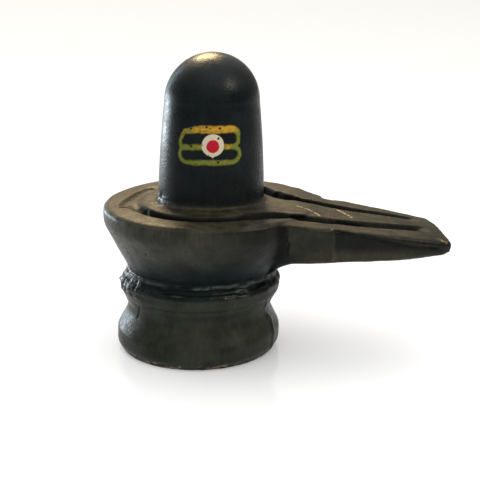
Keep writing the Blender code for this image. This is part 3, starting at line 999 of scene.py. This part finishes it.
def painted(nodes, position, stone):
    """The mark's colours over the stone, and how far paint covers the surface."""
    across, across_dot, height = wall_coordinates(nodes, position)
    wander = nodes.times(nodes.minus(nodes.noise(position, size=2.6), 0.5), BRUSH_WANDER * 2)
    ragged = nodes.times(nodes.minus(nodes.noise(position, size=0.7, detail=3.0), 0.5), RAGGED_EDGE)
    front = nodes.ease(nodes.size_of(across), *MARK_REACH)
    bars = bar_cover(nodes, across, height, wander, ragged, front)
    shown = nodes.mix(bars, stone, bar_paint(nodes, across, height))

    dot_across = nodes.math("MULTIPLY_ADD", wander, DOT_WANDER, across_dot)
    off = nodes.minus(height, DOT_HEIGHT)
    white = white_cover(nodes, dot_across, off, front)
    shown = nodes.mix(white, shown, WHITE_PAINT)
    red_gap = nodes.distance(dot_across, nodes.plus(off, RED_DROP))
    red = nodes.times(nodes.ease(red_gap, RED_RADIUS + PAINT_EDGE, RED_RADIUS - PAINT_EDGE), front)
    shown = nodes.mix(red, shown, RED_PAINT)

    cover = nodes.math("MAXIMUM", bars, nodes.math("MAXIMUM", white, red))
    chips = paint_chips(nodes, position, across, height, ragged)
    return nodes.mix(nodes.times(chips, cover), shown, stone), cover


# Colours of the stone, among them painted shade and painted highlights
BLACK_STONE = (0.0056, 0.0085, 0.0096, 1)
BOWL_STONE = (0.032, 0.0325, 0.0245, 1)
# Painted shade on the bowl's right side, away from the lights on the left
BOWL_RIGHT_SHADE = (0.008, 0.009, 0.006, 1)
ROOT_STONE = (0.021, 0.0225, 0.0145, 1)
FOOT_STONE = (0.022, 0.025, 0.0185, 1)
# Painted shade on the bowl's lower part, the waist and the ring's top, under the bowl's overhang
UNDER_BOWL_SHADE = (0.0032, 0.0072, 0.0074, 1)
# Painted shade in the channel, creases and cracks
SHADE_BLACK = (0.0010, 0.0013, 0.0012, 1)
# Painted shade on the spout's upright near wall below its crease; the tip is also darkened towards it
SPOUT_DARK = (0.0035, 0.0050, 0.0035, 1)
# Lighter painted band above the spout's crease, where the face tilts up to the light
SPOUT_LIT_BAND = (0.020, 0.0195, 0.0125, 1)
# Painted highlight along the spout's lower edge
SPOUT_EDGE_HIGHLIGHT = (0.034, 0.031, 0.019, 1)
# Brown of the upward faces: dust, and painted sheen of the warm light from above
TOP_BROWN_AND_SHEEN = (0.0105, 0.0102, 0.0062, 1)
BROWN_DUST_AND_SHEEN = (0.027, 0.0230, 0.0135, 1)
BARE_STONE = (0.24, 0.175, 0.105, 1)
# Painted highlight, pale bluish
PALE_HIGHLIGHT = (0.075, 0.092, 0.092, 1)

# Where the colour changes, in millimetres of height or along the spout
SHAFT_BOTTOM = (55.5, 53.0)
# Heights where the painted shade low on the bowl gives way to its olive
BOWL_SIDE = (33.0, 41.0)
BOWL_RIGHT = (0.0, 26.0)
SPOUT_ROOT = (32.4, 33.4)
FOOT_TOP = (25.2, 23.6)
SPOUT_PANEL = (46.6, 48.2)
# Line along the spout's near side between the lighter painted band and the painted shade below
CREASE_CORNER = (48.0, 49.2)
CREASE_SLOPE = -0.235
CREASE_FADE = (0.4, -0.5)
# Where the painted highlight along the spout's lower edge sits
LOW_EDGE_HEIGHTS = (43.0, 38.4)
LOW_EDGE_RUN = (34.0, 44.0)
TOP_FACING = (0.5, 0.8)
TOP_HEIGHTS = (38.0, 40.0)
TIP_RUN = (66.0, 82.0)
TIP_DARKENING = 0.65
BRUSH_STRETCH = (1.0, 1.0, 0.25)

# Gloss: how rough the finish is, and how that changes by place
STONE_SPECULAR = 0.10
SMEAR_ROUGHNESS = (0.31, 0.43)
GRAIN_ROUGHNESS = (-0.05, 0.07)
RUBBED_SHAFT = (53.0, 56.0)
SHAFT_ROUGHER = -0.06
TOP_ROUGHER = 0.14
HOLLOW_ROUGHER = 0.30
PAINT_ROUGHER = 0.10
GRAIN_STRENGTH = 0.8
GRAIN_DEPTH = 0.10 * MM
SPECK_SHARE = 0.25


def side_colour(nodes, height, along, below_shaft):
    """The sides' colour below the shaft: olive bowl with painted shade on its right and low down, painted
    shade at the waist, olive foot, and on the spout a lighter painted band above the crease, painted shade
    below it and a painted highlight along its lower edge.
    """
    # Painted shade: the bowl darker towards the right
    bowl = nodes.mix(nodes.ease(along, *BOWL_RIGHT), BOWL_STONE, BOWL_RIGHT_SHADE)
    bowl = nodes.mix(nodes.ease(along, *SPOUT_ROOT), bowl, ROOT_STONE)
    # Painted shade low on the bowl and under it
    side = nodes.mix(nodes.ease(height, *BOWL_SIDE), UNDER_BOWL_SHADE, bowl)
    on_foot = nodes.times(nodes.ease(height, *FOOT_TOP), below_shaft)
    side = nodes.mix(on_foot, side, FOOT_STONE)
    # Painted light on the spout's near side: a lighter band above the crease, painted shade on the wall
    # below it
    crease_x, crease_height = CREASE_CORNER
    crease = nodes.math("MULTIPLY_ADD", nodes.minus(along, crease_x), CREASE_SLOPE, crease_height)
    under = nodes.ease(nodes.minus(height, crease), *CREASE_FADE)
    panel = nodes.mix(under, SPOUT_LIT_BAND, SPOUT_DARK)
    side = nodes.mix(nodes.ease(along, *SPOUT_PANEL), side, panel)
    # Painted highlight along the spout's lower edge
    low_edge_highlight = nodes.times(nodes.ease(height, *LOW_EDGE_HEIGHTS), nodes.ease(along, *LOW_EDGE_RUN))
    return nodes.mix(low_edge_highlight, side, SPOUT_EDGE_HIGHLIGHT)


def top_share(nodes, height, below_shaft):
    """1 on the upward faces of the disc and the spout."""
    facing = nodes.add("ShaderNodeNewGeometry").outputs["Normal"]
    up = nodes.add("ShaderNodeSeparateXYZ", Vector=facing).outputs["Z"]
    on_top = nodes.times(nodes.ease(up, *TOP_FACING), nodes.ease(height, *TOP_HEIGHTS))
    return nodes.times(on_top, below_shaft)


def brushed_shade(nodes, position):
    """A grey that makes the colour cloudy, with upright brush strokes."""
    cloudy = nodes.ease(nodes.noise(position, size=8.0, detail=4.0), 0.25, 0.75, low=0.55, high=1.25)
    brushed = nodes.add("ShaderNodeVectorMath", Vector=position)
    brushed.operation = "MULTIPLY"
    brushed.inputs[1].default_value = BRUSH_STRETCH
    streaky = nodes.noise(brushed.outputs["Vector"], size=1.1, detail=5.0)
    strokes = nodes.ease(streaky, 0.3, 0.7, low=0.86, high=1.14)
    grey = nodes.times(cloudy, strokes)
    return nodes.add("ShaderNodeCombineColor", Red=grey, Green=grey, Blue=grey).outputs["Color"]


def stone_colour(nodes, position, height, along, on_top, below_shaft):
    """The stone's colour by part: black shaft, olive sides with painted shade at the waist, and tops whose
    brown is dust and painted sheen.
    """
    base = nodes.mix(below_shaft, BLACK_STONE, side_colour(nodes, height, along, below_shaft))
    # Upward faces browner: dust and painted sheen
    base = nodes.mix(on_top, base, TOP_BROWN_AND_SHEEN)
    dust_and_sheen = nodes.ease(nodes.noise(position, size=3.0, detail=5.0), 0.3, 0.7)
    base = nodes.mix(nodes.times(on_top, dust_and_sheen), base, BROWN_DUST_AND_SHEEN)
    base = nodes.mix(nodes.ease(along, *TIP_RUN, low=0.0, high=TIP_DARKENING), base, SPOUT_DARK)
    return nodes.mix(1.0, base, brushed_shade(nodes, position), "MULTIPLY")


def worn_colour(nodes, position, base):
    """The marks of the carving over the stone's colour: painted shade in hollows, painted highlights on
    edges and lumps, specks, and bare stone where worn and along the rim's painted golden highlight.
    """
    base = nodes.mix(nodes.attribute("painted_shade"), base, SHADE_BLACK)
    base = nodes.mix(nodes.attribute("painted_highlight"), base, PALE_HIGHLIGHT)
    speck = nodes.ease(nodes.noise(position, size=0.55), 0.74, 0.80)
    base = nodes.mix(nodes.times(speck, SPECK_SHARE), base, BARE_STONE)
    patchy = nodes.ease(nodes.noise(position, size=0.8, detail=3.0), 0.3, 0.6)
    # Bare-stone colour where worn, and for the rim's golden painted highlight
    bare = nodes.ease(nodes.times(nodes.attribute("wear_and_highlight"), patchy), 0.25, 0.6)
    return nodes.mix(bare, base, BARE_STONE)


def roughness(nodes, position, height, on_top, cover):
    """Smeared satin: glossier on the rubbed shaft, duller on the tops, in hollows and on paint."""
    smooth, dull = SMEAR_ROUGHNESS
    smear = nodes.ease(nodes.noise(position, size=5.0, detail=5.0), 0.3, 0.7, low=smooth, high=dull)
    rough = nodes.math("MULTIPLY_ADD", nodes.ease(height, *RUBBED_SHAFT), SHAFT_ROUGHER, smear)
    smoother, duller = GRAIN_ROUGHNESS
    grain = nodes.ease(nodes.noise(position, size=1.2, detail=3.0), 0.3, 0.7, low=smoother, high=duller)
    rough = nodes.plus(rough, grain)
    rough = nodes.plus(rough, nodes.times(on_top, TOP_ROUGHER))
    rough = nodes.math("MULTIPLY_ADD", nodes.attribute("painted_shade"), HOLLOW_ROUGHER, rough)
    return nodes.plus(rough, nodes.times(cover, PAINT_ROUGHER))


def stone_material():
    """Blackened stone with an oily satin sheen, dusty on top with a painted sheen, worn to tan at the
    edges, with painted shade and painted highlights.
    """
    material, nodes, shader = new_material("blackened_stone")
    position = nodes.add("ShaderNodeTexCoord").outputs["Object"]
    parts = nodes.add("ShaderNodeSeparateXYZ", Vector=position)
    height = nodes.math("DIVIDE", parts.outputs["Z"], MM)
    along = nodes.math("DIVIDE", parts.outputs["X"], MM)
    below_shaft = nodes.ease(height, *SHAFT_BOTTOM)
    on_top = top_share(nodes, height, below_shaft)
    base = stone_colour(nodes, position, height, along, on_top, below_shaft)
    shown, cover = painted(nodes, position, worn_colour(nodes, position, base))
    nodes.put(shader.inputs["Base Color"], shown)
    nodes.put(shader.inputs["Roughness"], roughness(nodes, position, height, on_top, cover))
    nodes.put(shader.inputs["Specular IOR Level"], STONE_SPECULAR)
    grain = nodes.noise(position, size=0.6, detail=3.0)
    bump = nodes.add("ShaderNodeBump", Strength=GRAIN_STRENGTH, Distance=GRAIN_DEPTH, Height=grain)
    nodes.put(shader.inputs["Normal"], bump.outputs["Normal"])
    return material


SHEET_SIZE = 8.0
SHEET_DROP = 0.02 * MM
SHEET_WHITE = (0.88, 0.88, 0.88, 1)
SHEET_ROUGHNESS = 0.12
SHEET_GLOW = 0.24
WHITE = (1.0, 1.0, 1.0, 1)


def floor():
    """A plain white sheet that the piece stands on, faintly lit from below like a light table."""
    bpy.ops.mesh.primitive_plane_add(size=SHEET_SIZE, location=(0, 0, -SHEET_DROP))
    sheet = bpy.context.object
    sheet.name = "floor"
    material, nodes, shader = new_material("white_sheet")
    nodes.put(shader.inputs["Base Color"], SHEET_WHITE)
    nodes.put(shader.inputs["Roughness"], SHEET_ROUGHNESS)
    nodes.put(shader.inputs["Emission Color"], WHITE)
    nodes.put(shader.inputs["Emission Strength"], SHEET_GLOW)
    sheet.data.materials.append(material)


# Area lights, all aimed at the middle of the piece: name, place, size, watts and tint
LIGHT_TARGET = (0.01, 0, 0.06)
AREA_LIGHTS = (
    ("left_window", (-0.42, 0.42, 0.20), (0.16, 0.42), 0.8, (0.66, 0.84, 1.0)),
    ("warm_behind", (-0.12, 0.42, 0.48), (0.19, 0.19), 6.3, (1.0, 0.74, 0.40)),
    ("low_left", (-0.50, 0.34, 0.03), (0.30, 0.06), 1.6, (0.80, 0.92, 1.0)),
    ("small_lamp", (0.41, -0.21, 0.45), (0.04, 0.04), 1.8, (1.0, 0.88, 0.66)),
)

# The room round the piece: how bright it is overhead and at its horizon, and their tints
ZENITH_STRENGTH = 2.2
DIM_HORIZON = 0.10
BRIGHT_HORIZON = 0.55
BRIGHT_SIDE = (-0.5, 0.87, 0)
HORIZON_TINT = (1.0, 0.93, 0.78, 1)
ZENITH_TINT = WHITE
TINT_RISE = 4.0


def area_light(name, place, size, power, tint, lit):
    """A soft rectangular light on the objects of one collection alone."""
    data = bpy.data.lights.new(name, "AREA")
    data.shape = "RECTANGLE"
    data.size, data.size_y = size
    data.energy = power
    data.color = tint
    light = bpy.data.objects.new(name, data)
    light.location = place
    light.rotation_euler = (Vector(LIGHT_TARGET) - Vector(place)).to_track_quat("-Z", "Y").to_euler()
    light.visible_camera = False
    light.light_linking.receiver_collection = lit
    bpy.context.scene.collection.objects.link(light)


def room():
    """A pale room, brightest overhead, its horizon bright behind on the left and dim in front."""
    world = bpy.data.worlds.new("pale_room")
    world.use_nodes = True
    nodes = Nodes(world.node_tree)
    background = world.node_tree.nodes["Background"]
    direction = nodes.add("ShaderNodeTexCoord").outputs["Generated"]
    height = nodes.add("ShaderNodeSeparateXYZ", Vector=direction).outputs["Z"]
    toward = nodes.add("ShaderNodeVectorMath", Vector=direction)
    toward.operation = "DOT_PRODUCT"
    toward.inputs[1].default_value = BRIGHT_SIDE
    side = nodes.math("MULTIPLY_ADD", toward.outputs["Value"], 0.5, 0.5)
    brighter = BRIGHT_HORIZON - DIM_HORIZON
    horizon = nodes.math("MULTIPLY_ADD", nodes.math("POWER", side, 2.0), brighter, DIM_HORIZON)
    up = nodes.math("POWER", nodes.math("MAXIMUM", height, 0.0), 2.0)
    rise = nodes.minus(ZENITH_STRENGTH, horizon)
    nodes.put(background.inputs["Strength"], nodes.math("MULTIPLY_ADD", up, rise, horizon))
    tint_share = nodes.math("MINIMUM", nodes.times(up, TINT_RISE), 1.0)
    nodes.put(background.inputs["Color"], nodes.mix(tint_share, HORIZON_TINT, ZENITH_TINT))
    bpy.context.scene.world = world


def lighting(piece):
    """Soft studio light: a pale room, and area lights that light the piece and not the floor."""
    lit = bpy.data.collections.new("accent_lit")
    lit.objects.link(piece)
    for name, place, size, power, tint in AREA_LIGHTS:
        area_light(name, place, size, power, tint, lit)
    room()
    bpy.context.scene.view_settings.view_transform = "Standard"


def camera():
    """The photograph's view, from the front and a little above."""
    data = bpy.data.cameras.new("camera")
    data.lens = VIEW_LENS
    view = bpy.data.objects.new("camera", data)
    back = Vector((
        math.sin(VIEW_TURN) * math.cos(VIEW_ELEVATION),
        -math.cos(VIEW_TURN) * math.cos(VIEW_ELEVATION),
        math.sin(VIEW_ELEVATION),
    ))
    view.location = VIEW_TARGET + back * VIEW_DISTANCE
    view.rotation_euler = back.to_track_quat("Z", "Y").to_euler()
    bpy.context.scene.collection.objects.link(view)
    bpy.context.scene.camera = view


camera()
floor()
stone = carved_stone()
lighting(stone)
stone.data.materials.clear()
stone.data.materials.append(stone_material())
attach(stone, "root")
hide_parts(NODE)
